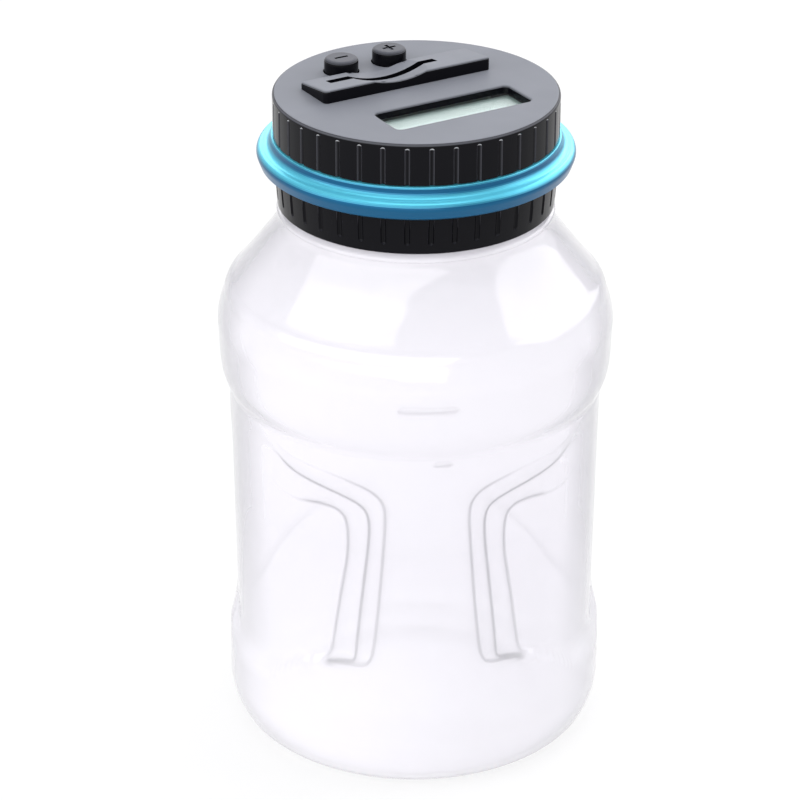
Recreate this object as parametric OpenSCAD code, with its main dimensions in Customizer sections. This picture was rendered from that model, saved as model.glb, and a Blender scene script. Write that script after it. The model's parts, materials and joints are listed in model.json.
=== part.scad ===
// Digital coin counting jar: a clear bottle with grip recesses, and a screw-on lid that holds
// a coin slot, a coin lever, a display, two keys and two AAA cells.
// Millimetres, +Z up, origin at the centre of the base, jar front towards -Y.

/* [Jar] */
// Height of the neck's lip
lip_z = 167.3; // [166.5:0.1:167.4]
// Radius of the heel and lower wall
base_r = 53.3; // [52.5:0.1:54]
// Largest radius, at the shoulder band
band_r = 55; // [54.4:0.1:56]
// Wall thickness of the clear plastic
wall = 1.3; // [1:0.1:1.8]
// Deepest depth of the grip recesses, near their lower end
grip_depth = 2.2; // [1.4:0.1:2.8]

/* [Neck and thread] */
// Outer radius of the neck
neck_r = 34.6; // [34.4:0.1:34.7]
// Height of the thread's rise in one turn
thread_pitch = 5; // [4.5:0.1:5.5]
// Turns of thread on the neck and in the collar
thread_turns = 1.2; // [1:0.05:1.25]

/* [Lid] */
// Angle of the lid's bar from the jar's +X
lid_clock = 27; // [0:1:90]
// Height of the top disc
top_z = 190; // [189:0.5:191]
// Outer radius of the top cover's wall
cover_r = 39.05; // [38.5:0.05:39.5]
// Number of flutes round the lid
flute_count = 38; // [30:1:40]
// Largest radius of the blue trim ring
ring_r = 43.5; // [42.5:0.1:44.5]

/* [Coin slot] */
// Length of the coin slot
slot_len = 33.5; // [30:0.5:34]
// Width of the coin slot
slot_w = 3; // [2.6:0.1:3.2]
// Height of the raised bar at its front edge
bar_h = 3.7; // [3:0.1:4]

/* [Keys] */
// Radius of a key at its foot
key_r = 4.7; // [4.3:0.1:4.8]

/* [Hidden] */
$fn = 96;
eps = 0.01;

// Heights of the lid's layers
collar_z = 158.3;
floor_z = 167.6;
deck_z = 169.5;
ring_gap = 0.35;
hub_top_z = 178.4;
plate_z = 187.8;
board_z = 181;
glass_z = 183.8;

// Radii of the lid's rings
neck_bore_r = 33.2;
collar_bore_r = 36;
hub_r = 37.25;
hub_bore_r = 35.2;
cover_bore_r = 36.9;
flute_r = 0.8;
flute_phase = 0.88;
thread_crest = 1;

// Places in the lid, u along the bar and v towards the back
slot_u = -4.25;
slot_v = 11.2;
bar_u = [-26.5, 25.5];
bar_v = [3.1, 17.1];
display_c = [2.25, -15.5];
display_size = [41.7, 13];
minus_c = [-10.4, 22.7];
plus_c = [4.75, 22.7];
lever_c = [15, 180];
hinge_c = [3.4, 169.2];
cell_r = 5.25;
cell_len = 44.5;
cell_v = [-3, -14.5];
cell_z = 175.25;
cover_screw_r = 29.5;
cover_screw_angles = [20, 95.5, 160, 270];
board_posts = [[-25, 1], [27, 1], [-24, -18]];
key_post = [-2.8, 18.6];

// Points of an arc, counted in steps from one angle to the other
function arc(c, r, a0, a1, steps) =
    [for (i = [0 : steps]) let (a = a0 + (a1 - a0) * i / steps)
        [c[0] + r * cos(a), c[1] + r * sin(a)]];

// A path moved to its left by w
function inset_path(p, w) =
    [for (i = [0 : len(p) - 1])
        let (a = p[max(i - 1, 0)], b = p[min(i + 1, len(p) - 1)], d = (b - a) / norm(b - a))
            p[i] + w * [-d[1], d[0]]];

// Outside of the bottle from the centre of the base to the top of the shoulder
jar_outside = concat(
    [[0, 4.5], [20, 3.9], [32, 2], [38, 0], [44, 0]],
    arc([44, 8], 8, -78, -32, 5),
    arc([base_r - 18.7, 13.3], 18.7, -26, 0, 4),
    [[base_r, 19.7], [52, 104], [52.5, 105.6], [53.4, 107.3], [54.3, 110.5], [54.7, 114.5],
        [band_r - 0.15, 120], [band_r, 124], [54.6, 127], [53.9, 129.5], [53.1, 132]],
    arc([46.9, 131.2], 6.2, 12, 52, 5),
    [[41, 148.6], [38.6, 152.4], [37.6, 154.6]]);

// Neck above the shoulder, with the bead that carries the collar
jar_neck = [[37.5, 155.4], [38.2, 155.8], [38.2, 156.9], [37.5, 157.4], [neck_r, 157.6],
    [neck_r, lip_z - 0.5], [neck_r - 0.4, lip_z], [neck_bore_r, lip_z]];

// Floor of the grip recesses, as a radius for each height
grip_floor = [[base_r + 3, 22], [base_r, 25.5], [51.6, 28.5], [50.95, 32], [50.9, 36],
    [51.75, 98], [51.8, 103], [base_r + 3, 104.5]];

// Outline of a grip recess on the +X half, grown by g, at step 1 or the deeper step 2
function grip_outline(step, g) = step == 1
    ? [[15.6 - g, 42.5 - g], [17.5, 39.8 - g], [27, 39.8 - g], [40, 34 - g], [60, 26 - g],
        [60, 101 + g], [46, 101 + g], [37, 98.9 + g], [26, 98 + g], [17.2 - g, 95.3 + g],
        [12.6 - g, 91.8 + g], [11.2 - g, 87]]
    : [[26.4 - g, 42.5], [29, 39.8 - g], [40, 34.4 - g], [60, 26.4 - g], [60, 92 + g],
        [44, 89 + g], [36, 88.2 + g], [27, 87.8 + g], [23.6 - g, 86 + g], [21.4 - g, 82]];

// Helical ridge of triangular section, r0 at its foot and r1 at its crest
module thread_ridge(r0, r1, z0, start) {
    steps = ceil(36 * thread_turns);
    foot = 1.1;
    crest = 0.5;
    pts = [for (i = [0 : steps]) let (a = start + 10 * i, z = z0 + thread_pitch * i / 36)
        each [for (q = [[r0, -foot], [r1, -crest], [r1, crest], [r0, foot]])
            [q[0] * cos(a), q[0] * sin(a), z + q[1]]]];
    flip = r1 < r0;
    sides = [for (i = [0 : steps - 1], j = [0 : 3]) let (k = 4 * i, n = (j + 1) % 4)
        flip ? [k + j, k + 4 + j, k + 4 + n, k + n] : [k + j, k + n, k + 4 + n, k + 4 + j]];
    e = 4 * steps;
    ends = flip ? [[0, 1, 2, 3], [e + 3, e + 2, e + 1, e]] : [[3, 2, 1, 0], [e, e + 1, e + 2, e + 3]];
    polyhedron(points = pts, faces = concat(sides, ends), convexity = 4);
}

module in_lid() {
    rotate([0, 0, lid_clock]) children();
}

module rounded_bar(u0, u1, v0, v1, r, z0, z1) {
    translate([0, 0, z0]) linear_extrude(z1 - z0) {
        for (u = [u0 + r, u1 - r], v = [v0 + r, v1 - r]) translate([u, v]) circle(r);
        translate([u0 + r, v0]) square([u1 - u0 - 2 * r, v1 - v0]);
        translate([u0, v0 + r]) square([u1 - u0, v1 - v0 - 2 * r]);
    }
}

module block(u0, u1, v0, v1, z0, z1) {
    translate([u0, v0, z0]) cube([u1 - u0, v1 - v0, z1 - z0]);
}

module post(c, r, z0, z1) {
    translate([c[0], c[1], z0]) cylinder(r = r, h = z1 - z0);
}

module at_cover_screws() {
    for (a = cover_screw_angles) rotate([0, 0, a]) translate([cover_screw_r, 0, 0]) children();
}

// Jar: one blown bottle, with two grip recesses that show at the front and at the back

module grip_cut(step, lift, g) {
    difference() {
        for (side = [0, 1]) mirror([side, 0, 0])
            rotate([90, 0, 0]) translate([0, 0, -60]) linear_extrude(120)
                polygon(grip_outline(step, g));
        rotate_extrude()
            polygon(concat([[0, 22]], [for (p = grip_floor) [p[0] + lift, p[1]]], [[0, 104.5]]));
    }
}

module jar() {
    inside = inset_path(jar_outside, wall);
    color([0.93, 0.94, 0.96, 0.4]) difference() {
        union() {
            difference() {
                rotate_extrude() polygon(concat(jar_outside, jar_neck, [[0, lip_z]]));
                grip_cut(1, grip_depth / 2, 0);
                grip_cut(2, 0, 0);
            }
            thread_ridge(neck_r - 0.6, neck_r + thread_crest, 159.7, 0);
        }
        difference() {
            rotate_extrude()
                polygon(concat([[0, inside[0][1]]], inside, [[neck_bore_r, 155.5],
                    [neck_bore_r, lip_z + 1], [0, lip_z + 1]]));
            grip_cut(1, grip_depth / 2 - wall, wall);
            grip_cut(2, -wall, wall);
        }
    }
}

// Lid, outside pieces

module trim_ring() {
    z0 = deck_z + ring_gap;
    color([0.13, 0.5, 0.72]) rotate_extrude()
        polygon(concat([[hub_r + ring_gap, z0], [41.7, z0], [42.6, z0 + 0.6]],
            arc([ring_r - 1.8, 173.2], 1.8, -20, 88, 8), arc([41.75, 177.05], 2, 268, 185, 7),
            [[39.72, 177.6], [39.55, hub_top_z - ring_gap - 0.12],
                [39.4, hub_top_z - ring_gap], [hub_r + ring_gap, hub_top_z - ring_gap]]));
}

module flutes(r, tilt, z0, z1, ball_z) {
    for (i = [0 : flute_count - 1]) rotate([0, 0, (i + flute_phase) * 360 / flute_count])
        translate([r, 0, ball_z]) rotate([0, tilt, 0]) {
            translate([0, 0, z0 - ball_z]) cylinder(r = flute_r, h = z1 - z0, $fn = 24);
            sphere(flute_r, $fn = 24);
        }
}

module screw_collar() {
    lower_r = 38;
    upper_r = 38.8;
    taper = atan((upper_r - lower_r) / (deck_z - collar_z));
    color([0.1, 0.1, 0.12]) in_lid() difference() {
        union() {
            difference() {
                rotate_extrude() polygon([[0, floor_z], [collar_bore_r, floor_z],
                    [collar_bore_r, collar_z], [lower_r - 0.3, collar_z], [lower_r, collar_z + 0.3],
                    [upper_r, deck_z - 0.2], [upper_r - 0.2, deck_z], [hub_r, deck_z],
                    [hub_r, hub_top_z], [hub_bore_r, hub_top_z], [hub_bore_r, deck_z], [0, deck_z]]);
                flutes(38.48, taper, 161.6, 171.4, 161.6);
            }
            rotate([0, 0, -lid_clock])
                thread_ridge(collar_bore_r + 0.6, collar_bore_r - thread_crest, 159.7, 180);
            for (side = [-1, 1]) {
                wall_u = side * 25.3;
                block(wall_u - 0.7, wall_u + 0.7, -20.6, 0.9, deck_z - 1, 178);
                block(side * 26.3 - 1.5, side * 26.3 + 1.5, 1.2, 5.6, floor_z, 171.2);
            }
        }
        // Battery bay, hinge bores, coin exit and screw holes
        block(-24.4, 24.4, -20.9, 5.3, floor_z - 1, deck_z + 1);
        translate([-27.4, hinge_c[0], hinge_c[1]]) rotate([0, 90, 0]) cylinder(r = 1.05, h = 54.8);
        block(-22, 18, slot_v - 1.7, slot_v + 1.7, floor_z - 1, deck_z + 1);
        at_cover_screws() translate([0, 0, floor_z - 1]) cylinder(r = 1.4, h = 4);
    }
}

module top_cover() {
    front = bar_v[0];
    depth = bar_v[1] - bar_v[0];
    slope = atan(1.8 / depth);
    color([0.14, 0.14, 0.16]) in_lid() difference() {
        union() {
            difference() {
                union() {
                    rotate_extrude() polygon(concat([[35.2, hub_top_z], [cover_r, hub_top_z]],
                        arc([cover_r - 0.9, top_z - 0.9], 0.9, 0, 90, 4),
                        [[0, top_z], [0, plate_z], [cover_bore_r, plate_z], [cover_bore_r, 181],
                            [36, 180.3], [35.2, 180.3]]));
                    difference() {
                        rounded_bar(bar_u[0], bar_u[1], front, bar_v[1], 1.2, plate_z + 0.5, top_z + bar_h);
                        translate([-30, front, top_z + bar_h]) rotate([-slope, 0, 0])
                            translate([0, -5, 0]) cube([60, depth + 12, 5]);
                    }
                }
                flutes(cover_r + 0.33, 0, hub_top_z - 1, top_z - 1.9, top_z - 1.9);
            }
            at_cover_screws() translate([0, 0, deck_z]) cylinder(r = 2.8, h = plate_z - deck_z + 1);
            for (p = board_posts) post(p, 2.2, board_z + 1.2, plate_z + 1);
            post(key_post, 1.9, 180.5, plate_z + 1);
        }
        // Coin slot with its thumb dish, display opening, key holes and screw holes
        block(slot_u - slot_len / 2, slot_u + slot_len / 2, slot_v - slot_w / 2, slot_v + slot_w / 2,
            plate_z - 1, top_z + 6);
        translate([-3, 14.5, top_z + 28.6 + 0.2]) sphere(28.6);
        rounded_bar(display_c[0] - display_size[0] / 2, display_c[0] + display_size[0] / 2,
            display_c[1] - display_size[1] / 2, display_c[1] + display_size[1] / 2, 1.5,
            plate_z - 1, top_z + 1);
        for (c = [minus_c, plus_c]) post(c, key_r + 0.3, plate_z - 1, top_z + 1);
        at_cover_screws() translate([0, 0, deck_z - 1]) cylinder(r = 1.05, h = 10);
        for (p = board_posts) post(p, 0.85, board_z, plate_z - 0.8);
        post(key_post, 0.85, 180, plate_z - 0.8);
    }
}

module pan_screw(head_r, head_h, shank_r, shank_h) {
    rotate([180, 0, 0]) difference() {
        union() {
            rotate_extrude() polygon([[0, 0], [head_r, 0], [head_r, head_h * 0.55],
                [head_r * 0.8, head_h * 0.9], [head_r * 0.5, head_h], [0, head_h]]);
            translate([0, 0, -shank_h]) cylinder(r = shank_r, h = shank_h + eps);
        }
        for (a = [0, 90]) rotate([0, 0, a])
            translate([-head_r * 0.6, -0.3, head_h * 0.45]) cube([head_r * 1.2, 0.6, head_h]);
    }
}

module cover_screws() {
    color("silver") in_lid() at_cover_screws()
        translate([0, 0, floor_z]) pan_screw(2.2, 1.3, 1, 10);
}

module key_cap(c) {
    translate([c[0], c[1], 0]) rotate_extrude()
        polygon(concat([[0, 186.2], [5.4, 186.2], [5.4, plate_z - 0.35], [key_r, plate_z - 0.35],
            [key_r, 191.6]], arc([key_r - 1.1, 192.9], 1.1, 0, 90, 4), [[0, 194]]));
}

module minus_button() {
    color([0.16, 0.16, 0.18]) in_lid() difference() {
        key_cap(minus_c);
        block(minus_c[0] - 2, minus_c[0] + 2, minus_c[1] - 0.45, minus_c[1] + 0.45, 193.5, 195);
    }
}

module plus_button() {
    color([0.16, 0.16, 0.18]) in_lid() difference() {
        key_cap(plus_c);
        block(plus_c[0] - 2, plus_c[0] + 2, plus_c[1] - 0.45, plus_c[1] + 0.45, 193.5, 195);
        block(plus_c[0] - 0.45, plus_c[0] + 0.45, plus_c[1] - 2, plus_c[1] + 2, 193.5, 195);
    }
}

module minus_plunger() {
    color("dimgray") in_lid() post(minus_c, 1.6, 183.4, 186.2);
}

module plus_plunger() {
    color("dimgray") in_lid() post(plus_c, 1.6, 183.4, 186.2);
}

// Lid, display and boards

module lcd_window() {
    color([0.8, 0.85, 0.85, 0.5]) in_lid()
        rounded_bar(display_c[0] - 22.4, display_c[0] + 22.4, display_c[1] - 8, display_c[1] + 8, 1,
            plate_z - 1.2, plate_z);
}

module lcd_panel() {
    color([0.72, 0.79, 0.77]) in_lid()
        block(display_c[0] - 22, display_c[0] + 22, display_c[1] - 7.8, display_c[1] + 7.8,
            glass_z, plate_z - 1.3);
}

module zebra_strips() {
    color("dimgray") in_lid() for (side = [-1, 1])
        block(display_c[0] - 20, display_c[0] + 20, display_c[1] + side * 6.4 - 0.9,
            display_c[1] + side * 6.4 + 0.9, board_z + 1.2, glass_z);
}

module main_board() {
    color([0.1, 0.4, 0.2]) in_lid() difference() {
        intersection() {
            block(-27.5, 29.5, -25, 6.2, board_z, board_z + 1.2);
            translate([0, 0, board_z - 1]) cylinder(r = 34, h = 4);
        }
        for (p = board_posts) post(p, 1, board_z - 1, board_z + 3);
    }
}

module board_screws() {
    color("silver") in_lid() {
        for (p = board_posts) translate([p[0], p[1], board_z]) pan_screw(1.6, 1, 0.8, 5);
        translate([key_post[0], key_post[1], 178.9]) pan_screw(1.6, 1, 0.8, 5);
    }
}

module controller_chip() {
    color([0.08, 0.08, 0.09]) in_lid() translate([5, -8.75, board_z - 0.7 + 6.6]) intersection() {
        sphere(6.6);
        translate([0, 0, -7]) cylinder(r = 4, h = 1.1);
    }
}

module key_board() {
    color([0.1, 0.4, 0.2]) in_lid() difference() {
        intersection() {
            block(-16.6, 11.4, 16.6, 26.2, 178.9, 180.5);
            translate([0, 0, 178]) cylinder(r = 34, h = 4);
        }
        post(key_post, 1, 178, 182);
    }
}

module key_switches() {
    color([0.3, 0.3, 0.32]) in_lid() for (c = [minus_c, plus_c]) difference() {
        block(c[0] - 3, c[0] + 3, c[1] - 3, c[1] + 3, 180.5, 184);
        post(c, 2, 182.5, 185);
    }
}

module ribbon_cable() {
    t = 0.6;
    color([0.75, 0.75, 0.78]) in_lid() translate([0, 0, 177.6]) linear_extrude(3.4)
        polygon([[-24.2, 4], [-24.2 + t, 4], [-24.2 + t, 15.8], [-20.8, 18.4], [-16.6, 18.4],
            [-16.6, 18.4 + t], [-21, 18.4 + t], [-24.2, 16.1]]);
}

// Lid, coin way

module coin_chute() {
    gap = 1.6;
    skin = 1.5;
    u0 = slot_u - slot_len / 2 - 0.5;
    u1 = 17;
    color([0.2, 0.2, 0.22]) in_lid() difference() {
        block(u0 - skin, u1 + skin, slot_v - gap - skin, slot_v + gap + skin, deck_z, plate_z);
        block(u0, u1, slot_v - gap, slot_v + gap, deck_z - 1, plate_z + 1);
        block(u1 - 1, u1 + 3, slot_v - gap, slot_v + gap, 176.3, plate_z + 1);
        translate([lever_c[0], slot_v - 5, lever_c[1]]) rotate([-90, 0, 0]) cylinder(r = 1.05, h = 10);
    }
}

module coin_lever() {
    half = 1.3;
    color([0.85, 0.82, 0.75]) in_lid() translate([lever_c[0], slot_v, lever_c[1]])
        rotate([90, 0, 0]) difference() {
            union() {
                translate([0, 0, -half]) linear_extrude(2 * half) {
                    circle(3);
                    translate([-22, -1.5]) square([22, 3]);
                    translate([-22, 0]) circle(1.5);
                }
                translate([0, -1.5, -0.5]) cube([6.5, 3, 1]);
            }
            translate([0, 0, -3]) cylinder(r = 1.07, h = 6);
        }
}

module lever_pin() {
    color("silver") in_lid() translate([lever_c[0], slot_v - 4.1, lever_c[1]]) rotate([-90, 0, 0]) {
        cylinder(r = 1, h = 9.8);
        translate([0, 0, -0.01 - 0.6]) cylinder(r = 1.8, h = 0.62);
        translate([0, 0, 9.79]) cylinder(r = 1.8, h = 0.6);
    }
}

module lever_spring() {
    wire = 0.25;
    color("lightgray") in_lid() translate([lever_c[0], slot_v + 3.1 + 0.35, lever_c[1]])
        rotate([-90, 0, 0]) {
            for (i = [0 : 3]) translate([0, 0, 0.52 * i]) rotate_extrude()
                translate([1.6, 0]) circle(wire, $fn = 40);
            translate([-1.8, -6, -0.2]) cube([0.4, 6, 0.4]);
            translate([1.4, -5, 1.36]) cube([0.4, 5, 0.4]);
        }
}

module coin_sensor() {
    color([0.12, 0.12, 0.13]) in_lid() {
        block(22.7, 24.6, 8.4, 14, deck_z, 184);
        for (v = [8.4, 12.4]) block(19.3, 22.8, v, v + 1.6, 177.2, 183.6);
    }
}

// Lid, battery bay

module battery_door() {
    free_v = -20.5;
    color([0.12, 0.12, 0.14]) in_lid() {
        block(-24.1, 24.1, free_v, hinge_c[0] - 0.7, 167.8, 169.3);
        translate([-24.1, hinge_c[0], hinge_c[1]]) rotate([0, 90, 0]) cylinder(r = 1.4, h = 48.2);
        translate([-26.8, hinge_c[0], hinge_c[1]]) rotate([0, 90, 0]) cylinder(r = 1, h = 53.6);
        block(-5, 5, free_v, free_v + 1.2, 166.7, 168);
        for (u = [-18 : 6 : 18]) block(u - 0.5, u + 0.5, -17, -3, 167.4, 168);
    }
}

module battery_cells() {
    color([0.45, 0.5, 0.48]) in_lid() for (i = [0, 1]) {
        end = i == 0 ? 1 : -1;
        translate([-end * cell_len / 2, cell_v[i], cell_z]) rotate([0, 90 * end, 0])
            rotate_extrude() polygon([[0, 0], [4.6, 0], [cell_r, 0.5], [cell_r, cell_len - 1.8],
                [4.6, cell_len - 1.2], [1.9, cell_len - 1.2], [1.9, cell_len], [0, cell_len]]);
    }
}

module battery_contacts() {
    color("silver") in_lid() {
        block(-24.58, -24.1, -18.5, 0.6, 171, 177.9);
        for (v = cell_v) block(24.1, 24.58, v - 3.6, v + 3.6, 171, 177.9);
    }
}

module battery_springs() {
    color("silver") in_lid() for (i = [0, 1]) {
        end = i == 0 ? -1 : 1;
        translate([end * 24.1, cell_v[i], cell_z]) rotate([0, -90 * end, 0])
            for (k = [0 : 3]) translate([0, 0, 0.25 + 0.42 * k]) rotate_extrude()
                translate([3 - 0.45 * k, 0]) circle(0.24, $fn = 40);
    }
}

// Short wire of straight stretches with round corners
module wire(points, r) {
    for (i = [0 : len(points) - 2]) {
        d = points[i + 1] - points[i];
        translate(points[i]) {
            sphere(1.04 * r, $fn = 40);
            rotate([0, acos(d[2] / norm(d)), atan2(d[1], d[0])]) cylinder(r = r, h = norm(d), $fn = 40);
        }
    }
}

module red_lead() {
    color("red") in_lid() wire([[24.9, -17, 178.6], [26.4, -15.5, 178.9], [26.4, -13, 179.6],
        [24.5, -12, board_z - 0.6]], 0.55);
}

module black_lead() {
    color("black") in_lid() wire([[24.9, -5.6, 178.6], [26.4, -6, 178.9], [26.4, -7.5, 179.6],
        [24.5, -8.5, board_z - 0.6]], 0.55);
}

jar();
trim_ring();
screw_collar();
top_cover();
cover_screws();
lcd_window();
lcd_panel();
zebra_strips();
main_board();
board_screws();
controller_chip();
key_board();
key_switches();
ribbon_cable();
minus_button();
minus_plunger();
plus_button();
plus_plunger();
coin_chute();
coin_lever();
lever_pin();
lever_spring();
coin_sensor();
battery_door();
battery_cells();
battery_contacts();
battery_springs();
red_lead();
black_lead();
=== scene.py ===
"""Digital coin counting jar: the looks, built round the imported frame."""
import json
import math

import bpy
import numpy as np
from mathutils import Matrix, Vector


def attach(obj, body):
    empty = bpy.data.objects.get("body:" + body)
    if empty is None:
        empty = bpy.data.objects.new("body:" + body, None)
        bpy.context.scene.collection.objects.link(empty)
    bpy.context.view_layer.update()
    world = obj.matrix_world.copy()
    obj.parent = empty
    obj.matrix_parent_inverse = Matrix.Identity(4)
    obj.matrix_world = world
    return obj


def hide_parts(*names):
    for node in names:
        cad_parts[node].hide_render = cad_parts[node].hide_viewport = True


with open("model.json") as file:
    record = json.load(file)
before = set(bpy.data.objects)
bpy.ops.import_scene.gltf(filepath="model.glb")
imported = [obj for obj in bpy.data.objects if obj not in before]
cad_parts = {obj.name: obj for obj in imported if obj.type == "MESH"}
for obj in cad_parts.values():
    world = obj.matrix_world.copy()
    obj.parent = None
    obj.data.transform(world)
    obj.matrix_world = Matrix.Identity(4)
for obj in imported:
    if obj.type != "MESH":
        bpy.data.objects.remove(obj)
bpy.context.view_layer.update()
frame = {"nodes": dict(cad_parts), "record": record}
nodes = frame["nodes"]
MM = 0.001

# ---------------------------------------------------------------- camera

CAMERA_DISTANCE = 0.979
CAMERA_ELEVATION = math.radians(26.4)
CAMERA_AZIMUTH = math.radians(-3.9)
CAMERA_ROLL = math.radians(0.26)
CAMERA_TARGET_Z = 0.0966
CAMERA_LENS = 156.3
CAMERA_SENSOR = 36
CAMERA_SHIFT_X = -0.0188
FURTHEST_SEEN = 20


def make_camera():
    data = bpy.data.cameras.new("camera")
    cam = bpy.data.objects.new("camera", data)
    bpy.context.scene.collection.objects.link(cam)
    flat = CAMERA_DISTANCE * math.cos(CAMERA_ELEVATION)
    place = Vector((
        flat * math.sin(CAMERA_AZIMUTH),
        -flat * math.cos(CAMERA_AZIMUTH),
        CAMERA_TARGET_Z + CAMERA_DISTANCE * math.sin(CAMERA_ELEVATION),
    ))
    look = Vector((0, 0, CAMERA_TARGET_Z)) - place
    turn = look.to_track_quat("-Z", "Y").to_matrix().to_4x4()
    turn.translation = place
    cam.matrix_world = turn
    cam.rotation_euler.rotate_axis("Z", CAMERA_ROLL)
    data.lens = CAMERA_LENS
    data.sensor_width = CAMERA_SENSOR
    data.shift_x = CAMERA_SHIFT_X
    data.clip_end = FURTHEST_SEEN
    bpy.context.scene.camera = cam


# ---------------------------------------------------------------- node helpers


def new_material(name):
    m = bpy.data.materials.new(name)
    m.use_nodes = True
    t = m.node_tree
    return m, t, t.nodes["Principled BSDF"]


def add(tree, kind, **settings):
    """New node. Each setting is an input's value, or else one of the node's properties."""
    n = tree.nodes.new(kind)
    for key, value in settings.items():
        if key in n.inputs:
            n.inputs[key].default_value = value
        else:
            setattr(n, key, value)
    return n


def feed(tree, value, socket):
    """Links an output to an input, or sets the input where value is a number or colour."""
    if isinstance(value, bpy.types.NodeSocket):
        tree.links.new(value, socket)
    else:
        socket.default_value = value


class Sums:
    """Short-hand for the sums and tests of a node tree."""

    def __init__(self, tree):
        self.tree = tree

    def node(self, kind, operation, values):
        n = add(self.tree, kind, operation=operation)
        for socket, value in zip(n.inputs, values):
            feed(self.tree, value, socket)
        return n

    def math(self, operation, *values):
        return self.node("ShaderNodeMath", operation, values).outputs[0]

    def vector(self, operation, output, *values):
        return self.node("ShaderNodeVectorMath", operation, values).outputs[output]

    def more(self, a, b):
        return self.math("GREATER_THAN", a, b)

    def less(self, a, b):
        return self.math("LESS_THAN", a, b)

    def either(self, *tests):
        out = tests[0]
        for t in tests[1:]:
            out = self.math("MAXIMUM", out, t)
        return out

    def both(self, *tests):
        out = tests[0]
        for t in tests[1:]:
            out = self.math("MULTIPLY", out, t)
        return out


def colour_ramp(t, value, places, low, high):
    """Colour that goes from low to high as value goes from the first place to the second."""
    ramp = add(t, "ShaderNodeValToRGB")
    for stop, place, colour in zip(ramp.color_ramp.elements, places, (low, high)):
        stop.position = place
        stop.color = (*colour, 1)
    t.links.new(value, ramp.inputs["Fac"])
    return ramp.outputs["Color"]


def map_range(t, value, places=(0, 1), results=(0, 1)):
    """Number that goes between the results as value goes between the places, and no further."""
    n = add(t, "ShaderNodeMapRange")
    n.inputs["From Min"].default_value, n.inputs["From Max"].default_value = places
    n.inputs["To Min"].default_value, n.inputs["To Max"].default_value = results
    t.links.new(value, n.inputs["Value"])
    return n.outputs["Result"]


def mix(t, blend, factor, a, b, **settings):
    """Colour a with colour b over it."""
    n = add(t, "ShaderNodeMix", data_type="RGBA", blend_type=blend, **settings)
    for name, value in (("Factor", factor), ("A", a), ("B", b)):
        feed(t, value, n.inputs[name])
    return n.outputs["Result"]


def mix_shader(t, factor, a, b):
    n = add(t, "ShaderNodeMixShader")
    for socket, value in zip(n.inputs, (factor, a, b)):
        feed(t, value, socket)
    return n.outputs[0]


def noise_on(t, place, scale, detail=2):
    noise = add(t, "ShaderNodeTexNoise", Scale=scale, Detail=detail)
    t.links.new(place.outputs["Object"], noise.inputs["Vector"])
    return noise.outputs["Fac"]


def bump_from(t, height, strength, distance):
    bump = add(t, "ShaderNodeBump", Strength=strength, Distance=distance)
    t.links.new(height, bump.inputs["Height"])
    return bump.outputs["Normal"]


def split_axes(t, vector):
    split = add(t, "ShaderNodeSeparateXYZ")
    t.links.new(vector, split.inputs["Vector"])
    return split.outputs


# ---------------------------------------------------------------- materials

GRAIN_DETAIL = 3
TINT_SCALE, TINT_PLACES = 60, (0.35, 0.65)
ROUGH_SCALE = 90
MOULD_GRAIN, MOULD_DEPTH = 2600, 0.00002
METAL_GRAIN, METAL_DEPTH = 1800, 0.00001
GRAIN_STRENGTH = 0.25


def grain_bump(t, b, scale, strength, distance):
    place = add(t, "ShaderNodeTexCoord")
    grain = noise_on(t, place, scale, GRAIN_DETAIL)
    t.links.new(bump_from(t, grain, strength, distance), b.inputs["Normal"])
    return place


def varied_roughness(t, place, b, rough):
    t.links.new(map_range(t, noise_on(t, place, ROUGH_SCALE), results=rough), b.inputs["Roughness"])


def plastic(name, dark, light, rough, grain=MOULD_GRAIN, depth=MOULD_DEPTH):
    """Grained surface whose colour and roughness each vary a little between two values."""
    m, t, b = new_material(name)
    place = grain_bump(t, b, grain, GRAIN_STRENGTH, depth)
    tint = colour_ramp(t, noise_on(t, place, TINT_SCALE), TINT_PLACES, dark, light)
    t.links.new(tint, b.inputs["Base Color"])
    varied_roughness(t, place, b, rough)
    return m


def metal(name, dark, light, rough):
    m = plastic(name, dark, light, rough, METAL_GRAIN, METAL_DEPTH)
    m.node_tree.nodes["Principled BSDF"].inputs["Metallic"].default_value = 1.0
    return m


# Clear plastic: where it counts as edge on, how it mirrors head on, its milkiness and its faint waves
EDGE_ON_PLACES = (0.5, 0.97)
HEAD_ON_GLOSS, GLOSS_POWER = 0.045, 5
MILK = (0.93, 0.92, 0.95)
WAVE_SCALE, WAVE_STRENGTH, WAVE_DEPTH = 38, 0.35, 0.0004

# The jar's own: thicker and greyer up the shoulder, the grey partly painted shade, milkier towards the foot,
# and painted shade along the creases
SHOULDER_HEIGHTS, SHOULDER_GREY = (0.128, 0.158), (0.955, 0.955, 0.957)
HAZE_HEIGHTS, HAZE_GAIN = (0.075, 0.015), 1.7
PAINTED_CREASE_SHADE = (0.2, 0.2, 0.22)


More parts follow.
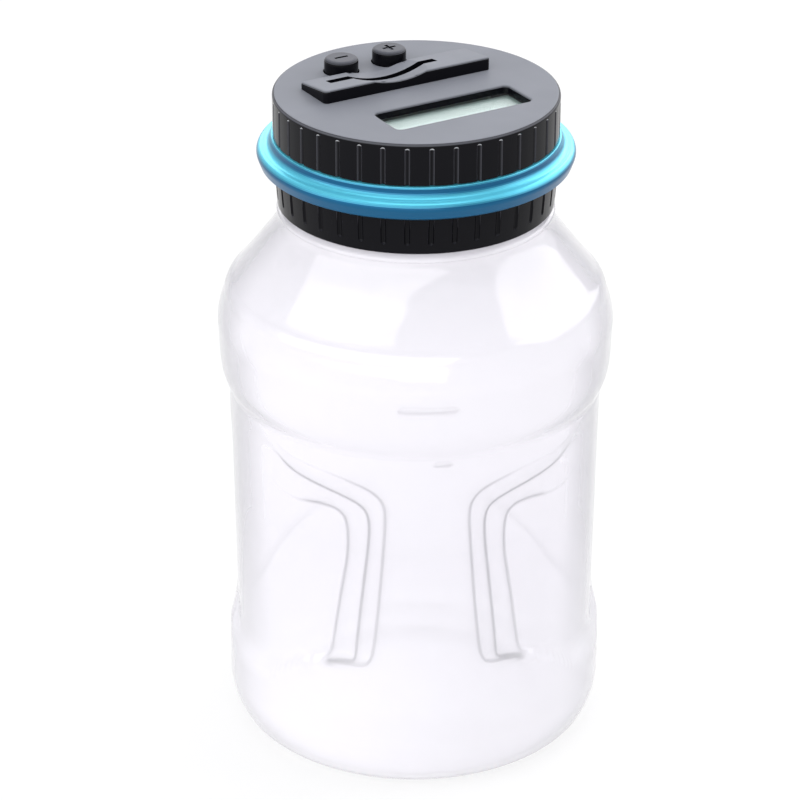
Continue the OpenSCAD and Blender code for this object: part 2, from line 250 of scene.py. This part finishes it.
def clear(name, front_on, edge_on, veil, gloss_rough, crease_shade=None):
    """Thin clear plastic: it lets light straight through, darker where it is seen edge on,
    with a faint milky veil and a gloss. Its last argument names a mesh attribute of painted
    shade that darkens it, and is for the jar, which also gets a greyer shoulder, partly
    painted shade, and a milkier foot."""
    m, t, b = new_material(name)
    t.nodes.remove(b)
    out = next(n for n in t.nodes if n.type == "OUTPUT_MATERIAL")
    k = Sums(t)
    place = add(t, "ShaderNodeTexCoord")
    facing = add(t, "ShaderNodeLayerWeight", Blend=0.5).outputs["Facing"]
    tint = colour_ramp(t, facing, EDGE_ON_PLACES, front_on, edge_on)
    if crease_shade:
        height = split_axes(t, place.outputs["Object"])["Z"]
        # Greyer up the shoulder: partly thicker plastic, partly painted shade
        thickness_and_shade = map_range(t, height, SHOULDER_HEIGHTS)
        tint = mix(t, "MULTIPLY", thickness_and_shade, tint, (*SHOULDER_GREY, 1))
        # Painted shade along the jar's creases and round its dashes, from a mesh attribute
        lines = add(t, "ShaderNodeAttribute", attribute_name=crease_shade)
        tint = mix(t, "MIX", lines.outputs["Fac"], tint, (*PAINTED_CREASE_SHADE, 1))
        veil = map_range(t, height, HAZE_HEIGHTS, (veil, HAZE_GAIN * veil))
    through = add(t, "ShaderNodeBsdfTransparent")
    milk = add(t, "ShaderNodeBsdfDiffuse", Color=(*MILK, 1))
    gloss = add(t, "ShaderNodeBsdfGlossy", Color=(1, 1, 1, 1), Roughness=gloss_rough)
    waves = bump_from(t, noise_on(t, place, WAVE_SCALE), WAVE_STRENGTH, WAVE_DEPTH)
    schlick = k.math("MULTIPLY_ADD", k.math("POWER", facing, GLOSS_POWER), 1 - HEAD_ON_GLOSS, HEAD_ON_GLOSS)
    t.links.new(tint, through.inputs["Color"])
    t.links.new(waves, gloss.inputs["Normal"])
    body = mix_shader(t, veil, through.outputs[0], milk.outputs[0])
    t.links.new(mix_shader(t, schlick, body, gloss.outputs[0]), out.inputs["Surface"])
    return m


# The cover's ribs: flanks painted paler, a painted highlight, from the cosine of their turn from the radius,
# outside RIB_REACH only
RIB_FLANK_HIGHLIGHT = (0.05, 0.05, 0.058)
RIB_REACH = 0.0385
FLANK_TURNS = (0.985, 0.6)

# The painted glint where a groove ends under the deck, from how far its surface turns down
PAINTED_GLINT = (0.5, 0.5, 0.52)
GLINT_LOWEST = 0.187
GLINT_TURNS = (-0.2, -0.5)


def rib_flanks(t, place):
    """1 on the outer walls where they turn away from the radius, as on the flanks of a rib:
    where the ribs' painted highlight goes.
    """
    k = Sums(t)
    flat = k.vector("MULTIPLY", "Vector", place.outputs["Object"], (1, 1, 0))
    outward = k.vector("NORMALIZE", "Vector", flat)
    along = k.vector("DOT_PRODUCT", "Value", outward, place.outputs["Normal"])
    radius = k.vector("LENGTH", "Value", flat)
    return k.both(map_range(t, along, FLANK_TURNS), k.more(radius, RIB_REACH))


def rib_tops(t, up, place):
    """1 where a groove between the cover's ribs ends, at its top, and its surface turns down:
    where the painted glint goes.
    """
    height = split_axes(t, place.outputs["Object"])["Z"]
    return Sums(t).both(map_range(t, up, GLINT_TURNS), Sums(t).more(height, GLINT_LOWEST))


# How far a surface of the cover has to face up before it turns from wall to top, in roughness and in the
# paler colour of painted sheen
ROUGH_TURNS, SHADE_TURNS = (0.2, 0.9), (0.25, 0.95)
COVER_GRAIN_STRENGTH = 0.3
COVER_FADE = (0.88, 1.12)
COVER_SPECULAR = 0.09


def cover_plastic(name, wall, top, wall_rough, top_rough):
    """Black plastic with glossy dark upright walls and satin on what faces up, painted paler there as
    painted sheen;
    the ribs' flanks get a painted highlight and the grooves' top ends a painted glint.
    """
    m, t, b = new_material(name)
    place = grain_bump(t, b, MOULD_GRAIN, COVER_GRAIN_STRENGTH, MOULD_DEPTH)
    up = split_axes(t, place.outputs["Normal"])["Z"]
    t.links.new(map_range(t, up, ROUGH_TURNS, (wall_rough, top_rough)), b.inputs["Roughness"])
    # What faces up is painted paler: painted sheen
    shade = colour_ramp(t, up, SHADE_TURNS, wall, top)
    # Painted highlight on the ribs' flanks
    shade = mix(t, "MIX", rib_flanks(t, place), shade, (*RIB_FLANK_HIGHLIGHT, 1))
    # Painted glint at the grooves' top ends
    shade = mix(t, "MIX", rib_tops(t, up, place), shade, (*PAINTED_GLINT, 1))
    fade = map_range(t, noise_on(t, place, TINT_SCALE), results=COVER_FADE)
    shade = mix(t, "MULTIPLY", 1, shade, fade, clamp_result=True)
    t.links.new(shade, b.inputs["Base Color"])
    b.inputs["Specular IOR Level"].default_value = COVER_SPECULAR
    return m


# Places of the ring's two blues on a scale from 0, facing down, to 1, facing up: painted shade below, a
# painted highlight above
RING_PLACES = (0.66, 0.975)
RING_LOOK = {
    "Metallic": 0.5,
    "Specular IOR Level": 0.2,
    "Coat Weight": 0.2,
    "Coat Roughness": 0.08,
}


def ring_metal(name, under, face, rough):
    """Blue metallic finish, painted deeper as painted shade where the surface turns down,
    and paler as a painted highlight where it faces up.
    """
    m, t, b = new_material(name)
    place = grain_bump(t, b, METAL_GRAIN, GRAIN_STRENGTH, METAL_DEPTH)
    varied_roughness(t, place, b, rough)
    # Colour by how far the surface faces up: painted shade and painted highlight
    up = Sums(t).math("MULTIPLY_ADD", split_axes(t, place.outputs["Normal"])["Z"], 0.5, 0.5)
    t.links.new(colour_ramp(t, up, RING_PLACES, under, face), b.inputs["Base Color"])
    for socket, value in RING_LOOK.items():
        b.inputs[socket].default_value = value
    return m


BLACK = (0.0035, 0.0035, 0.005)

MATERIALS = {
    "clear_plastic": clear("clear_pet", (0.979, 0.975, 0.986), (0.55, 0.55, 0.57), 0.28, 0.04, "crease_shade"),
    "blue_ring": ring_metal("blue_metallic", (0.002, 0.09, 0.2), (0.14, 0.74, 0.95), (0.3, 0.36)),
    # The cover's three materials are painted paler on what faces up: painted sheen
    "black_gloss": cover_plastic("black_gloss_abs", BLACK, (0.02, 0.02, 0.025), 0.14, 0.3),
    "black_satin": cover_plastic("black_satin_abs", BLACK, (0.21, 0.22, 0.25), 0.13, 0.5),
    "key_plastic": cover_plastic("key_abs", BLACK, (0.09, 0.093, 0.11), 0.25, 0.4),
    "steel": metal("zinc_steel", (0.45, 0.45, 0.46), (0.6, 0.6, 0.62), (0.25, 0.4)),
    "window": clear("window_acrylic", (0.97, 0.99, 0.985), (0.8, 0.85, 0.84), 0.02, 0.25),
    "lcd_glass": plastic("lcd_glass", (0.53, 0.66, 0.63), (0.56, 0.7, 0.67), (0.3, 0.4)),
    "elastomer": plastic("elastomer", (0.05, 0.05, 0.06), (0.4, 0.4, 0.4), (0.5, 0.6), 900),
    "circuit_board": plastic("solder_mask", (0.01, 0.1, 0.04), (0.015, 0.14, 0.06), (0.3, 0.4), 700),
    "epoxy": plastic("epoxy", (0.006, 0.006, 0.006), (0.012, 0.012, 0.012), (0.15, 0.3)),
    "switch_body": plastic("switch_body", (0.02, 0.02, 0.025), (0.04, 0.04, 0.045), (0.4, 0.5)),
    "ribbon": plastic("ribbon", (0.35, 0.35, 0.37), (0.5, 0.5, 0.52), (0.4, 0.5)),
    "inner_black": plastic("inner_abs", (0.012, 0.012, 0.014), (0.025, 0.025, 0.028), (0.35, 0.5)),
    "lever_plastic": plastic("acetal", (0.6, 0.57, 0.48), (0.7, 0.68, 0.6), (0.35, 0.45)),
    "spring_wire": metal("spring_wire", (0.5, 0.5, 0.5), (0.65, 0.65, 0.65), (0.2, 0.3)),
    "nickel": metal("nickel_strip", (0.6, 0.57, 0.5), (0.7, 0.67, 0.6), (0.15, 0.25)),
    "cell_jacket": metal("cell_jacket", (0.12, 0.16, 0.2), (0.18, 0.22, 0.26), (0.3, 0.4)),
    "red_wire": plastic("red_pvc", (0.4, 0.01, 0.01), (0.5, 0.02, 0.02), (0.35, 0.45)),
    "black_wire": plastic("black_pvc", (0.01, 0.01, 0.01), (0.02, 0.02, 0.02), (0.35, 0.45)),
}


def dress_cad_nodes():
    slot_of = {s["node"]: s["material_slot"] for s in frame["record"]["subparts"]}
    for name, o in nodes.items():
        o.data.materials.clear()
        o.data.materials.append(MATERIALS[slot_of[name]])


# ---------------------------------------------------------------- the cover's moulded edges

# Places on the top cover, in the lid's own turned frame: u along the slot's bar, v towards the back
LID_CLOCK = math.radians(27)
DECK_TOP, BAR_TOP = 0.190, 0.1915
BAR_LEFT, BAR_RIGHT, BAR_FRONT, BAR_BACK = -0.0265, 0.0255, 0.0031, 0.0171
DISPLAY_BACK = -0.006
NEAR_OUTLINE, NEAR_DECK = 0.0009, 0.00005

EDGE_RADIUS = 0.0008
EDGE_SEGMENTS = 4
WELD_WITHIN = 1e-6
FLAT_WITHIN = math.radians(0.5)
ROUNDED_FROM = math.radians(60)
CRISP_FROM = math.radians(32)
BIG_FACE_WEIGHT = 100


def geometry_tree(name):
    tree = bpy.data.node_groups.new(name, "GeometryNodeTree")
    tree.interface.new_socket("Geometry", in_out="INPUT", socket_type="NodeSocketGeometry")
    tree.interface.new_socket("Geometry", in_out="OUTPUT", socket_type="NodeSocketGeometry")
    return tree, add(tree, "NodeGroupInput"), add(tree, "NodeGroupOutput")


def crisp_edges():
    """Geometry nodes that keep the shading crisp across edges that turn sharply."""
    tree, start, end = geometry_tree("crisp_edges")
    angle = add(tree, "GeometryNodeInputMeshEdgeAngle")
    gentle = Sums(tree).less(angle.outputs["Unsigned Angle"], CRISP_FROM)
    smoothing = add(tree, "GeometryNodeSetShadeSmooth", domain="EDGE")
    tree.links.new(gentle, smoothing.inputs["Shade Smooth"])
    tree.links.new(start.outputs[0], smoothing.inputs["Geometry"])
    tree.links.new(smoothing.outputs["Geometry"], end.inputs[0])
    return tree


def edge_picker():
    """Geometry nodes that weight the outer edges of the bar and of the display's opening."""
    tree, start, end = geometry_tree("moulded_edges")
    place = add(tree, "GeometryNodeInputPosition")
    turn = add(tree, "ShaderNodeVectorRotate", rotation_type="Z_AXIS", Angle=-LID_CLOCK)
    tree.links.new(place.outputs["Position"], turn.inputs["Vector"])
    axes = split_axes(tree, turn.outputs["Vector"])
    u, v, z = axes["X"], axes["Y"], axes["Z"]
    angle = add(tree, "GeometryNodeInputMeshEdgeAngle")
    k = Sums(tree)
    outline = k.either(
        k.less(u, BAR_LEFT + NEAR_OUTLINE),
        k.more(u, BAR_RIGHT - NEAR_OUTLINE),
        k.less(v, BAR_FRONT + NEAR_OUTLINE),
        k.more(v, BAR_BACK - NEAR_OUTLINE),
    )
    bar = k.both(k.more(z, BAR_TOP), outline)
    on_deck = k.less(k.math("ABSOLUTE", k.math("SUBTRACT", z, DECK_TOP)), NEAR_DECK)
    opening = k.both(on_deck, k.less(v, DISPLAY_BACK))
    sharp = k.more(angle.outputs["Signed Angle"], ROUNDED_FROM)
    store = add(tree, "GeometryNodeStoreNamedAttribute", data_type="FLOAT", domain="EDGE")
    store.inputs["Name"].default_value = "bevel_weight_edge"
    tree.links.new(k.both(sharp, k.either(bar, opening)), store.inputs["Value"])
    tree.links.new(start.outputs[0], store.inputs["Geometry"])
    tree.links.new(store.outputs["Geometry"], end.inputs[0])
    return tree


def modifier(o, name, kind, **settings):
    m = o.modifiers.new(name, kind)
    for key, value in settings.items():
        setattr(m, key, value)


def soften_edges():
    """Rounds the edges of the cover's bar and display opening, as the mould does."""
    o = nodes["top_cover"]
    modifier(o, "weld", "WELD", merge_threshold=WELD_WITHIN)
    modifier(o, "flat", "DECIMATE", decimate_type="DISSOLVE", angle_limit=FLAT_WITHIN)
    modifier(o, "pick", "NODES", node_group=edge_picker())
    modifier(o, "edge", "BEVEL", width=EDGE_RADIUS, segments=EDGE_SEGMENTS, limit_method="WEIGHT",
             use_clamp_overlap=False)
    modifier(o, "crisp", "NODES", node_group=crisp_edges())
    modifier(o, "shade", "WEIGHTED_NORMAL", keep_sharp=True, weight=BIG_FACE_WEIGHT)


# ---------------------------------------------------------------- jar
# Lengths here are in mm until grid_mesh, and a profile's points are (radius, height).

BODY_R = 53.3
WALL_LOW_Z = 19.7
PANEL_HEIGHTS, PANEL_RADII = (20, 104), (BODY_R, 52.0)
WAIST_HEIGHTS = (WALL_LOW_Z, 22.5, 26, 29.5, 33, 38, 104)
WAIST_RADII = (BODY_R, 53.15, 52.2, 51.2, 50.9, 50.95, 51.85)

# The grip recess: its crest and the edges of its two steps, as degrees from the front and height
GRIP_EDGES = {
    "crest": ((15.8, 45), (16.9, 41.4), (18.8, 39.7), (27, 39.5), (34, 38), (45, 34), (60, 22), (95, 22),
              (95, 106), (60, 104), (50, 101), (44.6, 99.3), (30, 98), (18.5, 95.3), (13.7, 92.2),
              (12.2, 88), (12.8, 78), (14.2, 60)),
    "middle": ((21.6, 43), (22, 40.3), (27, 40), (34, 38.3), (45, 34.3), (60, 22.4), (95, 22.4),
               (95, 105), (60, 103), (55, 100.5), (50.3, 98.2), (45, 95.3), (37, 93.8), (27, 92),
               (20, 89.7), (17.4, 86.3), (17.4, 79), (19.1, 65.5), (20.8, 51.5)),
    "floor": ((29.8, 43), (30.4, 40.4), (34, 38.8), (45, 34.8), (60, 22.8), (95, 22.8), (95, 104),
              (70, 100), (58, 92), (50, 87), (43, 86.4), (37, 87.3), (32.5, 87.7), (27.3, 87),
              (24.4, 84), (24.1, 74), (26.8, 60.5), (28.9, 47.7)),
}
GRIP_R = 52

# The steps down: the edge each follows, where it starts and ends inside that edge, and its share of the drop
GRIP_STEPS = (
    ("crest", 0, 0.5, 0.24),
    ("crest", 0.5, 3.4, 0.13),
    ("middle", 0, 0.5, 0.24),
    ("middle", 0.5, 4.2, 0.13),
    ("floor", 0, 1.1, 0.26),
)
FRONT_HEIGHTS, FRONT_DROPS = (38, 98, 104), (2.1, 1.1, 0.6)
SIDE_FROM, SIDE_FULL, SIDE_SLOPE = 40, 62, 5

# The painted shade along the creases: how dark each edge is, and the degrees from the front over which it
# fades out
GRIP_CREASES = (("crest", 0.6, 16, 34), ("middle", 0.8, 46, 53), ("floor", 0.7, 36, 44))
CREASE_INSET, CREASE_WIDTH = 0.2, 0.5
LOW_END_Z, LOW_FADE = 60, (29, 34)
BACK_SHARE = 0.05


def smooth(x, a, b):
    t = np.clip((x - a) / (b - a), 0, 1)
    return t * t * (3 - 2 * t)


def rounded(points):
    """Cuts the corners of a closed outline three times over, so that it turns smoothly."""
    p = np.array(points, float)
    for _ in range(3):
        q = np.roll(p, -1, axis=0)
        p = np.stack([0.75 * p + 0.25 * q, 0.25 * p + 0.75 * q], 1).reshape(-1, 2)
    return p


def depth_inside(outline, x, z):
    """Signed distance from a closed outline, positive inside."""
    best = np.full(x.shape, 1e9)
    inside = np.zeros(x.shape, bool)
    n = len(outline)
    for i in range(n):
        (x0, z0), (x1, z1) = outline[i], outline[(i + 1) % n]
        dx, dz = x1 - x0, z1 - z0
        t = np.clip(((x - x0) * dx + (z - z0) * dz) / (dx * dx + dz * dz), 0, 1)
        best = np.minimum(best, np.hypot(x - x0 - t * dx, z - z0 - t * dz))
        crosses = (z0 > z) != (z1 > z)
        if abs(dz) > 1e-12:
            inside ^= crosses & (x < x0 + (z - z0) * dx / dz)
    return np.where(inside, best, -best)


def unrolled(outline):
    """The outline with its degrees as lengths round the wall."""
    p = rounded(outline)
    p[:, 0] = np.radians(p[:, 0]) * GRIP_R
    return p


def grip_drop(theta, z):
    """How far the wall stands back of its round outline, and how dark the painted shade along its creases
    is.
    """
    az = np.abs((np.degrees(theta) + 180) % 360 - 180)
    az = np.where(az > 90, 180 - az, az)
    x = np.radians(az) * GRIP_R
    depth = {edge: depth_inside(unrolled(points), x, z) for edge, points in GRIP_EDGES.items()}
    steps = sum(share * smooth(depth[edge], start, end) for edge, start, end, share in GRIP_STEPS)
    side = smooth(az, SIDE_FROM, SIDE_FULL)
    share = steps * (1 - side) + smooth(depth["crest"], 0, SIDE_SLOPE) * side
    panel = np.interp(z, PANEL_HEIGHTS, PANEL_RADII)
    waist = np.interp(z, WAIST_HEIGHTS, WAIST_RADII)
    front = np.interp(z, FRONT_HEIGHTS, FRONT_DROPS)
    full = front * (1 - side) + np.maximum(panel - waist, 0) * side
    # Painted shade along the grips' creases, fading out towards the sides and weaker on the back
    low = z < LOW_END_Z
    lines = np.zeros(z.shape)
    for edge, shade, start, end in GRIP_CREASES:
        near = np.exp(-((depth[edge] - CREASE_INSET) / CREASE_WIDTH) ** 2)
        fade = smooth(az, np.where(low, LOW_FADE[0], start), np.where(low, LOW_FADE[1], end))
        lines += shade * near * (1 - fade)
    lines = lines * np.where(np.cos(theta) > 0, 1, BACK_SHARE)
    return full * share, np.clip(lines, 0, 1)


def arc(cx, cz, r, a0, a1, n):
    a = np.radians(np.linspace(a0, a1, n))
    return [(cx + r * math.cos(k), cz + r * math.sin(k)) for k in a]


def resample(points, gap):
    """A path through the points with a vertex at each, and others no more than gap(z) apart."""
    out = [points[0]]
    for a, b in zip(points, points[1:]):
        length, done = math.dist(a, b), 0.0
        while done < 1:
            done += gap(a[1] + (b[1] - a[1]) * done) / length
            if done > 1 - 0.1 / length:
                done = 1.0
            out.append((a[0] + (b[0] - a[0]) * done, a[1] + (b[1] - a[1]) * done))
    return np.array(out)


def spline(points, per=6):
    """Catmull-Rom curve through the points."""
    p = [points[0], *points, points[-1]]
    out = []
    for a, b, c, d in zip(p, p[1:], p[2:], p[3:]):
        for k in range(per):
            t = k / per
            out.append(tuple(0.5 * (2 * b[i] + (c[i] - a[i]) * t
                                    + (2 * a[i] - 5 * b[i] + 4 * c[i] - d[i]) * t * t
                                    + (3 * b[i] - a[i] - 3 * c[i] + d[i]) * t ** 3) for i in (0, 1)))
    return out + [points[-1]]


# Circles that the outside and the inside share: centre (radius, height); the wall is 1.3 thick
HEEL = (44, 8.02)
LOWER_R = 18.7
LOWER = (BODY_R - LOWER_R, 13.3)
CORNER = (46.9, 131.2)
WALL = 1.3


def jar_outside():
    """Profile from the middle of the foot up to the top of the neck."""
    foot = spline([(0.4, 4.5), (20, 3.9), (31, 2.1), (36.5, 0.35), (40, 0.02)])
    heel = arc(*HEEL, 8, -80, -32, 14)[1:]
    lower = arc(*LOWER, LOWER_R, -27, 0, 12)
    band = spline([(52.0, 104), (52.45, 105.6), (53.4, 107.6), (54.2, 110.5), (54.6, 114.5), (54.8, 120),
                   (54.95, 124), (54.55, 127), (53.9, 129.5), (53.1, 132)], 5)
    corner = arc(*CORNER, 6.2, 12, 52, 12)
    slope = spline([(50.4, 136.5), (46, 142), (41, 148.6), (38.9, 151.7), (37.9, 153.6),
                    (37.5, 155.2)], 5)[3:]
    bead = [(37.55, 155.5)] + arc(37.5, 156.35, 0.75, -80, 80, 9) + [(37.3, 157.25), (34.9, 157.5)]
    neck = [(34.6, 157.8), (34.6, 166.7)] + arc(34.0, 166.7, 0.6, 10, 90, 5)
    return foot + heel + lower + [(BODY_R, WALL_LOW_Z)] + band + corner + slope + bead + neck


def jar_inside():
    """Profile from the top of the neck down to the middle of the foot."""
    neck = [(33.5, 167.3), (33.2, 167.0), (33.2, 156.5)]
    slope = spline([(33.3, 155.6), (34.4, 153.4), (36.2, 151.4), (40.0, 147.6), (44.9, 141.2),
                    (49.2, 136.1)], 5)
    corner = arc(*CORNER, 6.2 - WALL, 50, 12, 8)
    band = spline([(51.8, 131.9), (52.6, 129.2), (53.25, 126.8), (53.65, 124), (53.5, 120), (53.3, 114.6),
                   (52.9, 110.8), (52.1, 108), (51.1, 105.8), (50.7, 104)], 5)
    lower = arc(*LOWER, LOWER_R - WALL, 0, -27, 12)
    heel = arc(*HEEL, 8 - WALL, -34, -80, 12)
    foot = spline([(40.5, 1.4), (36.8, 1.7), (31.2, 3.4), (20, 5.2), (0.4, 5.8)])
    return neck + slope + corner + band + [(BODY_R - WALL, WALL_LOW_Z)] + lower + heel + foot


def jar_columns():
    """Angles round the jar from the front, closer together where the grips' edges run."""
    quarter = np.concatenate([np.arange(0, 9, 0.75), np.arange(9, 55, 0.4), np.arange(55, 90, 1.75)])
    half = np.concatenate([quarter, 180 - quarter[::-1]])
    half = half[np.concatenate([[True], np.diff(half) > 0.2])][:-1]
    return np.radians(np.concatenate([half, half + 180]))


# Gaps between rows of vertices: fine at both ends of the grips, at the upper dash and on the thread
COARSE_GAP, FINE_GAP = 1.6, 0.36
FINE_HEIGHTS = ((38, 43), (82, 104), (119, 122), (157.5, 170))


def inner_gap(z):
    return COARSE_GAP


def outer_gap(z):
    fine = any(low < z < high for low, high in FINE_HEIGHTS)
    return FINE_GAP if fine else COARSE_GAP


def grid_mesh(name, rings):
    """Closed mesh of quads from an array of rings, (rows, columns, 3), with a face at each end."""
    rows, cols, _ = rings.shape
    verts = rings.reshape(-1, 3) * MM
    i = np.arange(rows - 1)[:, None] * cols
    j = np.arange(cols)[None, :]
    k = (j + 1) % cols
    faces = np.stack([i + j, i + k, i + cols + k, i + cols + j], -1).reshape(-1, 4).tolist()
    faces += [list(range(cols))[::-1], list(range((rows - 1) * cols, rows * cols))]
    m = bpy.data.meshes.new(name)
    m.from_pydata(verts.tolist(), [], faces)
    m.validate()
    m.shade_smooth()
    return m


# The neck's helical ridge: its flanks fall from its crest between two distances from its middle line
THREAD_PITCH, THREAD_TURNS, THREAD_START_Z, THREAD_CREST = 5.0, 1.2, 159.7, 0.95
THREAD_FLANK = (0.45, 1.15)
THREAD_RUN_OUT = 0.03

# Small raised dashes on the front: degrees from and to, height, and half height
DASHES = ((-7.6, 7.3, 120.4, 0.55), (2.5, 6.5, 102.8, 0.4))
DASH_R, DASH_RISE, DASH_SLOPE = 54, 0.3, 0.3
# How dark the painted shade line round each dash is, its width, and its share above the dash
DASH_LINE, DASH_LINE_WIDTH, DASH_LINE_ABOVE = 0.45, 0.35, 0.45


def thread_height(theta, z):
    """How far the neck's helical ridge stands out."""
    from_x = (theta - math.pi / 2) % (2 * math.pi) / (2 * math.pi)
    out = np.zeros(z.shape)
    for turn in (0, 1):
        wound = from_x + turn
        off = np.abs(z - THREAD_START_Z - THREAD_PITCH * wound)
        ends = smooth(wound, 0, THREAD_RUN_OUT)
        ends = ends * (1 - smooth(wound, THREAD_TURNS - THREAD_RUN_OUT, THREAD_TURNS))
        out = np.maximum(out, THREAD_CREST * ends * (1 - smooth(off, *THREAD_FLANK)))
    return out


def dash_height(theta, z):
    """How far the raised dashes stand out, and how dark the painted shade line round them is."""
    az = (np.degrees(theta) + 180) % 360 - 180
    out, line = np.zeros(z.shape), np.zeros(z.shape)
    for left, right, height, half in DASHES:
        middle, reach = (left + right) / 2, (right - left) / 2
        x = np.maximum(np.abs(az - middle) - reach, 0) * math.pi / 180 * DASH_R
        away = np.hypot(x, z - height)
        out += DASH_RISE * (1 - smooth(away, half - DASH_SLOPE, half + DASH_SLOPE))
        edge = np.exp(-((away - half) / DASH_LINE_WIDTH) ** 2)
        line += DASH_LINE * edge * np.where(z < height, 1, DASH_LINE_ABOVE)
    return out, line


# Where each of these is looked for: heights from and to, and the least radius or cosine from the front
GRIP_HEIGHTS, GRIP_LEAST_R = (19, 107), 45
THREAD_HEIGHTS, THREAD_LEAST_R = (157.9, 166.6), 34
DASH_LEAST_R, DASH_LEAST_COS = 50, 0.95


def between(z, heights):
    return (z > heights[0]) & (z < heights[1])


def jar_surface(path, theta, outer):
    """Rings of points for one side of the wall, and how dark the painted shade along its creases is at each.
    Only the outside has a thread, dashes and painted shade along its creases and round its dashes."""
    r = np.repeat(path[:, :1], len(theta), 1)
    z = np.repeat(path[:, 1:], len(theta), 1)
    t = np.repeat(theta[None, :], len(path), 0)
    drop, line = np.zeros(r.shape), np.zeros(r.shape)
    held = between(z, GRIP_HEIGHTS) & (r > GRIP_LEAST_R)
    drop[held], line[held] = grip_drop(t[held], z[held])
    if outer:
        neck = between(z, THREAD_HEIGHTS) & (r > THREAD_LEAST_R)
        r[neck] += thread_height(t[neck], z[neck])
        front = (r > DASH_LEAST_R) & (np.cos(t) > DASH_LEAST_COS)
        raised, rim = dash_height(t[front], z[front])
        r[front] += raised
        line[front] += rim
    else:
        line[:] = 0
    r = r - drop
    return np.stack([r * np.sin(t), -r * np.cos(t), z], -1), line.reshape(-1)


def make_jar():
    theta = jar_columns()
    outside, creases = jar_surface(resample(jar_outside(), outer_gap), theta, True)
    inside, plain = jar_surface(resample(jar_inside(), inner_gap), theta, False)
    mesh = grid_mesh("clear_jar", np.concatenate([outside, inside]))
    jar = bpy.data.objects.new("clear_jar", mesh)
    bpy.context.scene.collection.objects.link(jar)
    mesh.materials.append(MATERIALS["clear_plastic"])
    # The painted shade along the creases and round the dashes, kept on the mesh for the material
    shade = mesh.attributes.new("crease_shade", "FLOAT", "POINT")
    shade.data.foreach_set("value", np.concatenate([creases, plain]).astype(np.float32))
    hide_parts("jar")
    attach(jar, "jar")


# ---------------------------------------------------------------- stage

FLOOR_SIZE = 8
FLOOR_GREY, FLOOR_GLOW = 0.25, 0.7
HORIZON, ZENITH = (0.85, 0.85, 0.86), (0.45, 0.45, 0.47)
SKY_HEIGHTS = (0, 0.6)


def make_floor():
    bpy.ops.mesh.primitive_plane_add(size=FLOOR_SIZE)
    floor = bpy.context.object
    floor.name = "floor"
    m, t, b = new_material("floor")
    grain_bump(t, b, 30, 0.02, 0.0002)
    b.inputs["Base Color"].default_value = (FLOOR_GREY, FLOOR_GREY, FLOOR_GREY, 1)
    b.inputs["Roughness"].default_value = 0.9
    b.inputs["Specular IOR Level"].default_value = 0
    b.inputs["Emission Color"].default_value = (1, 1, 1, 1)
    b.inputs["Emission Strength"].default_value = FLOOR_GLOW
    floor.data.materials.append(m)


def make_world():
    world = bpy.data.worlds.new("world")
    bpy.context.scene.world = world
    world.use_nodes = True
    t = world.node_tree
    height = split_axes(t, add(t, "ShaderNodeTexCoord").outputs["Generated"])["Z"]
    t.links.new(colour_ramp(t, height, SKY_HEIGHTS, HORIZON, ZENITH), t.nodes["Background"].inputs["Color"])


MIDDLE = (0, 0, 0.1)
RING = (0, 0, 0.19)


def area_light(name, place, target, size, power):
    data = bpy.data.lights.new(name, "AREA")
    data.shape = "RECTANGLE"
    data.size, data.size_y = size
    data.energy = power
    o = bpy.data.objects.new(name, data)
    bpy.context.scene.collection.objects.link(o)
    o.location = place
    o.rotation_euler = (Vector(target) - Vector(place)).to_track_quat("-Z", "Y").to_euler()


def around(azimuth, elevation, distance):
    """Place at an azimuth from the front and an elevation, in degrees, seen from the jar's middle."""
    az, el = math.radians(azimuth), math.radians(elevation)
    flat = distance * math.cos(el)
    return (flat * math.sin(az), -flat * math.cos(az), MIDDLE[2] + distance * math.sin(el))


def make_lights():
    area_light("overhead", (0.0, 0.1, 1.8), MIDDLE, (1.1, 1.1), 6.5)
    area_light("back", (0.15, 1.5, 0.85), RING, (1.9, 1.0), 11)
    area_light("window_left", around(-36, 30, 1.0), MIDDLE, (2.4, 0.8), 12)
    area_light("window_right", around(112, 32, 1.0), MIDDLE, (1.5, 0.8), 6.5)


bpy.context.scene.view_settings.view_transform = "Standard"
make_camera()
dress_cad_nodes()
soften_edges()
make_jar()
make_floor()
make_world()
make_lights()
